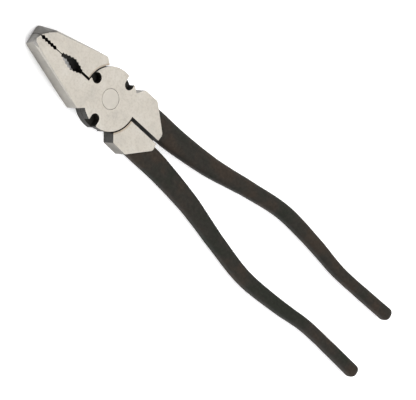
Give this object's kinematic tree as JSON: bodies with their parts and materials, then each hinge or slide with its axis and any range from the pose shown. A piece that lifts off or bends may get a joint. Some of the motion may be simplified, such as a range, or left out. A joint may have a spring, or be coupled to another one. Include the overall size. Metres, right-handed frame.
{
  "type": "fencing pliers",
  "caption": "Flat-nosed fencing and combination pliers with serrated pipe grip, wire-shearing notches round a lap joint and long dipped handles.",
  "frame": {"origin": "on the pivot axis, in the plane of the flat back face that the tool lies on", "axes": "+X along the closed tool towards the nose, +Z through its thickness towards the front face, +Y towards the front half's jaw"},
  "size_m": [0.2695, 0.0496, 0.0085],
  "materials": {
    "ground_steel": "ground bright on the flats, black forging scale on the joint's rim and steps",
    "rivet_steel": "ground flush with both faces",
    "grip_vinyl": "matte brown-black dipped vinyl"
  },
  "bodies": {
    "front": {"front_half": "ground_steel", "front_grip": "grip_vinyl", "pivot_rivet": "rivet_steel"},
    "rear": {"rear_half": "ground_steel", "rear_grip": "grip_vinyl"}
  },
  "joints": [
    {"name": "jaw_pivot", "type": "hinge", "parent": "front", "child": "rear", "pos_m": [0, 0, 0.00425], "axis": [0, 0, -1], "range_deg": [0, 35]}
  ]
}
